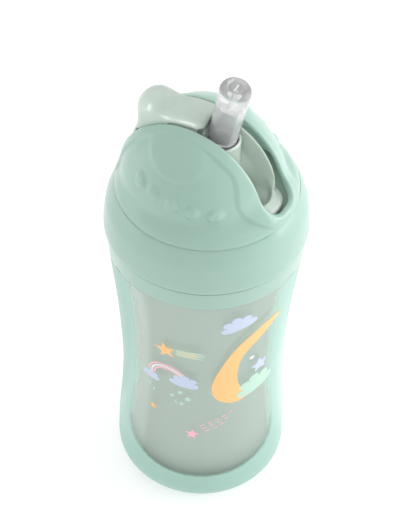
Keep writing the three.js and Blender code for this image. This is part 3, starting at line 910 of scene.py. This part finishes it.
def loop(points, steps=6):
    """A smooth closed outline through a few points."""
    p = [np.array(q, float) for q in points]
    result = []
    for i in range(len(p)):
        a, b, c, d = p[i - 1], p[i], p[(i + 1) % len(p)], p[(i + 2) % len(p)]
        for t in np.arange(steps) / steps:
            q = between(a, b, c, d, t)
            result.append((float(q[0]), float(q[1])))
    return result


def star(at, size, turn=0, waist=0.45, points=5):
    result = []
    for i in range(2 * points):
        angle = math.radians(turn + 90 + 180 * i / points)
        reach = size if i % 2 == 0 else size * waist
        result.append((at[0] + reach * math.cos(angle), at[1] + reach * math.sin(angle)))
    return result


def cloud(at, size, turn=0):
    """A lobed oval with a flat foot."""
    c, s = math.cos(math.radians(turn)), math.sin(math.radians(turn))
    outline = []
    for angle in np.linspace(0, 2 * math.pi, 96, endpoint=False):
        reach = 0.7 + 0.34 * math.sqrt(abs(math.cos(4 * angle)))
        a, b = reach * math.cos(angle), 0.9 * reach * math.sin(angle)
        if b < -0.32:
            a, b = -0.32 * a / b, -0.32
        outline.append((at[0] + size * (a * c - b * s), at[1] + size * (a * s + b * c)))
    return outline


def stroke(start, end, width, bow=0.0, steps=10):
    """A dash with round ends, bowed sideways."""
    a, b = np.array(start, float), np.array(end, float)
    along = (b - a) / np.linalg.norm(b - a)
    across = np.array([-along[1], along[0]])
    ts = np.linspace(0, 1, steps)
    middle = [a + (b - a) * t + across * bow * 4 * t * (1 - t) for t in ts]
    half = [width / 2 * math.sqrt(max(0.05, 1 - (2 * t - 1) ** 8)) for t in ts]
    left = [m + across * h for m, h in zip(middle, half)]
    right = [m - across * h for m, h in zip(middle, half)]
    return [tuple(map(float, q)) for q in left + right[::-1]]


def arch(centre, radius, width, start=0, end=180, lean=0.0, steps=24):
    """A band bent round as part of a rainbow, sheared sideways by lean."""
    angles = np.radians(np.linspace(start, end, steps))
    outline = [(radius + width / 2, a) for a in angles] + [(radius - width / 2, a) for a in angles[::-1]]
    return [
        (centre[0] + r * (math.cos(a) + lean * math.sin(a)), centre[1] + r * math.sin(a)) for r, a in outline
    ]


def arc_length(angle):
    """Artwork position of a direction round the cup, in degrees from the front."""
    return math.radians(angle) * PRINT_R


def place(angle, z):
    return (arc_length(angle), z)


# Direction and height of the moon's outline.
MOON = [
    (-7, 108.6), (-22, 107), (-38, 99.2), (-48, 88.6), (-55, 76), (-52.5, 67.2), (-41, 62.4), (-30, 63.2),
    (-25.5, 65.8), (-31.5, 68.5), (-37, 76), (-37.2, 86), (-32.5, 93.5), (-20, 101.2),
]
# Direction, height and size of the small stars under the rainbow.
RAIN = [
    (-101, 68.5, 1.3), (-97.5, 65.5, 1.1), (-77, 69.5, 1.4), (-83, 66.5, 1.3), (-71.5, 66, 1.7),
    (-76, 62.5, 1.4), (-80, 63, 1.0),
]


def draw_moon(art):
    art["orange"].append(loop([place(*point) for point in MOON]))
    art["mint"].append(cloud(place(-21, 67.5), 8.6, 14))
    art["lavender"].append(star(place(-20, 80.5), 4.4, 10, 0.5))
    art["white"].append(star(place(-27.5, 88), 1.5, 0, 0.45))


def draw_shooting_star(art):
    art["orange"].append(star(place(-87, 94.7), 4.6, 12, 0.42))
    for shift in (-1.5, -0.5, 0.5, 1.5):
        end = place(-59 - 1.5 * abs(shift), 94.6 + 1.2 * shift)
        art["mint"].append(stroke(place(-81, 95.4 + shift), end, 0.62, 0.35))
    for shift in (-1.0, 0, 1.0):
        end = place(-64 - abs(shift), 94.7 + 1.2 * shift)
        art["orange"].append(stroke(place(-79, 95.4 + shift), end, 0.36, 0.35))


def draw_rainbow(art):
    for radius, ink in ((8.4, "pink"), (7.2, "white"), (6.0, "pink")):
        art[ink].append(arch(place(-86, 76.4), radius, 0.75, 5, 178, -0.1))
    for at, size, turn in (((-99.5, 73.6), 4.0, -6), ((-74.5, 75.4), 5.8, -10), ((-39.5, 112.6), 6.6, 18)):
        art["lavender"].append(cloud(place(*at), size, turn))
    for angle, z, size in RAIN:
        art["mint"].append(star(place(angle, z), size, angle, 0.5))


def draw_dashes(art):
    """A small star with three rows of dashes behind it."""
    art["pink"].append(star(place(-67.9, 44.6), 2.9, -8, 0.45))
    for row, (lift, first) in enumerate(((3.0, 0.05), (0.9, 0.12), (-1.2, 0.2))):
        for i in range(5 - row):
            t = first + i * 0.2
            start = (arc_length(-64) + 15 * t, 46.2 + lift + 8.2 * t)
            art["pink"].append(stroke(start, (start[0] + 1.9, start[1] + 1.0), 0.42))


def build_print():
    art = {ink: [] for ink in INKS}
    draw_moon(art)
    draw_shooting_star(art)
    draw_rainbow(art)
    draw_dashes(art)
    art["orange"].append(star(place(-98.6, 54.4), 2.0, 8, 0.4))
    for ink, outlines in art.items():
        slabs = [wrap(outline, INK_LIFT[ink]) for outline in outlines]
        thing = mesh_object(f"print_{ink}", *merge(*slabs), 60)
        thing.visible_shadow = False
        thing.visible_diffuse = False
        finish_piece(thing, INKS[ink], "cup", "shell_clear")


# ---------- stage ----------

AZIMUTH, ELEVATION, ROLL = (math.radians(a) for a in (-62.13, 47.14, 1.75))
CAMERA = {"distance": 999.4, "height": 136, "right": 1.027, "up": -15.667, "lens": 179.07, "sensor": 36}
FLOOR = {"half": 4000, "z": -0.4}
UP = Vector((0, 0, 1))


def camera_axes():
    flat = math.cos(ELEVATION)
    back = Vector((math.sin(AZIMUTH) * flat, -math.cos(AZIMUTH) * flat, math.sin(ELEVATION)))
    right = Vector((math.cos(AZIMUTH), math.sin(AZIMUTH), 0))
    return right, back.cross(right), back


def build_camera():
    right, up, back = camera_axes()
    target = CAMERA["height"] * UP + CAMERA["right"] * right + CAMERA["up"] * up
    tilted_right = math.cos(ROLL) * right + math.sin(ROLL) * up
    tilted_up = back.cross(tilted_right)
    data = bpy.data.cameras.new("camera")
    data.lens = CAMERA["lens"]
    data.sensor_width = CAMERA["sensor"]
    camera = bpy.data.objects.new("camera", data)
    bpy.context.scene.collection.objects.link(camera)
    matrix = camera.matrix_world.to_3x3()
    for i, axis in enumerate((tilted_right, tilted_up, back)):
        matrix.col[i] = axis
    camera.matrix_world = matrix.to_4x4()
    camera.location = (target + CAMERA["distance"] * back) * MM
    bpy.context.scene.camera = camera


def area_light(name, at, aim, size, power):
    data = bpy.data.lights.new(name, "AREA")
    data.shape = "RECTANGLE"
    data.size, data.size_y = size
    data.energy = power
    light = bpy.data.objects.new(name, data)
    bpy.context.scene.collection.objects.link(light)
    light.location = at
    light.rotation_euler = (Vector(aim) - Vector(at)).to_track_quat("-Z", "Y").to_euler()
    light.visible_camera = False
    return light


def only(light, piece):
    """A light that falls on one piece."""
    group = bpy.data.collections.new(f"{light.name}_on")
    group.objects.link(bpy.data.objects[piece])
    light.light_linking.receiver_collection = group


def fill_light(name, at, size, power, piece):
    """A soft light on one piece, which throws no shadow."""
    light = area_light(name, at, (0, 0, 0.05), size, power)
    light.data.use_shadow = False
    only(light, piece)


def build_stripe(name, direction, power):
    """An upward strip on the floor beside the cup, which draws a bright line up the shell."""
    at = direction * 0.1 + 0.001 * UP
    stripe = area_light(name, at, at + UP, (0.05, 0.11), power)
    stripe.rotation_euler = (math.pi, 0, math.atan2(direction.y, direction.x) - math.pi / 2)
    stripe.visible_diffuse = False
    only(stripe, "outer_shell_looks")


def build_glow(side):
    """A faint light in the gap beside the seat, as from the dome's translucent wall."""
    data = bpy.data.lights.new("inner_glow", "POINT")
    data.energy = 0.01
    data.shadow_soft_size = 0.004
    glow = bpy.data.objects.new("inner_glow", data)
    bpy.context.scene.collection.objects.link(glow)
    glow.location = Vector((side * 17, -8, 166)) * MM
    glow.visible_glossy = False
    only(glow, "lid_dome_looks")


def build_lights():
    right, _, back = camera_axes()
    front = Vector((back.x, back.y, 0)).normalized()
    aim = 0.11 * UP
    area_light("left_window", aim - right * 1.3 - front * 0.1, aim, (0.9, 1.0), 2.2)
    area_light("right_window", aim + right * 1.3 - front * 0.1 + 0.45 * UP, aim, (0.9, 1.4), 13)
    area_light("top", aim + 1.5 * UP - front * 0.5, aim, (1.2, 1.2), 1.8)
    edge = right * 0.87 - front * 0.48
    area_light("right_edge", aim + edge * 1.1 + 0.12 * UP, aim + 0.05 * UP, (0.22, 0.4), 0.35)
    glint = (back * 0.71 - right * 0.70).normalized()
    only(area_light("glint", aim + glint * 1.2, aim, (0.4, 1.0), 9), "slider_cover_looks")
    only(area_light("seat_fill", aim + back * 1.3, aim, (0.3, 0.3), 10), "straw_seat_looks")
    fill_light("cup_fill", front * 1.2 + 0.02 * UP, (0.8, 0.3), 2.5, "inner_cup_looks")
    low_left = front * 1.1 - right * 0.5 + 0.35 * UP
    fill_light("shell_fill", low_left, (0.8, 0.3), 1.9, "outer_shell_looks")
    fill_light("base_fill", 1.1 * UP, (0.4, 0.4), 4, "outer_shell_looks")
    for name, turn, power in (("left_stripe", -87, 0.014), ("right_stripe", 113, 0.015)):
        turn = math.radians(turn)
        build_stripe(name, front * math.cos(turn) + right * math.sin(turn), power)
    for side in (-1, 1):
        build_glow(side)


def build_world():
    world = bpy.data.worlds.new("world")
    world.use_nodes = True
    world.node_tree.nodes["Background"].inputs["Color"].default_value = (1, 1, 1, 1)
    world.node_tree.nodes["Background"].inputs["Strength"].default_value = 0.88
    bpy.context.scene.world = world
    bpy.context.scene.view_settings.view_transform = "Standard"


def build_floor():
    half = FLOOR["half"]
    corners = ((-half, -half), (half, -half), (half, half), (-half, half))
    vertices = [(*at, FLOOR["z"]) for at in corners]
    floor = mesh_object("floor", vertices, [[0, 1, 2, 3]])
    material, tree, shader = new_material("floor_paper")
    colour = mottle(tree, (0.6, 0.6, 0.6, 1), (0.62, 0.62, 0.62, 1), 3)
    tree.links.new(colour, shader.inputs["Base Color"])
    shader.inputs["Roughness"].default_value = 0.9
    shader.inputs["Emission Color"].default_value = (1, 1, 1, 1)
    shader.inputs["Emission Strength"].default_value = 0.5
    floor.data.materials.append(material)


build_shell()
build_band()
build_cup()
build_ring()
build_dome()
build_seat()
build_cover()
build_seals()
build_mouthpiece()
build_base()
build_tube()
build_print()
build_camera()
build_lights()
build_world()
build_floor()
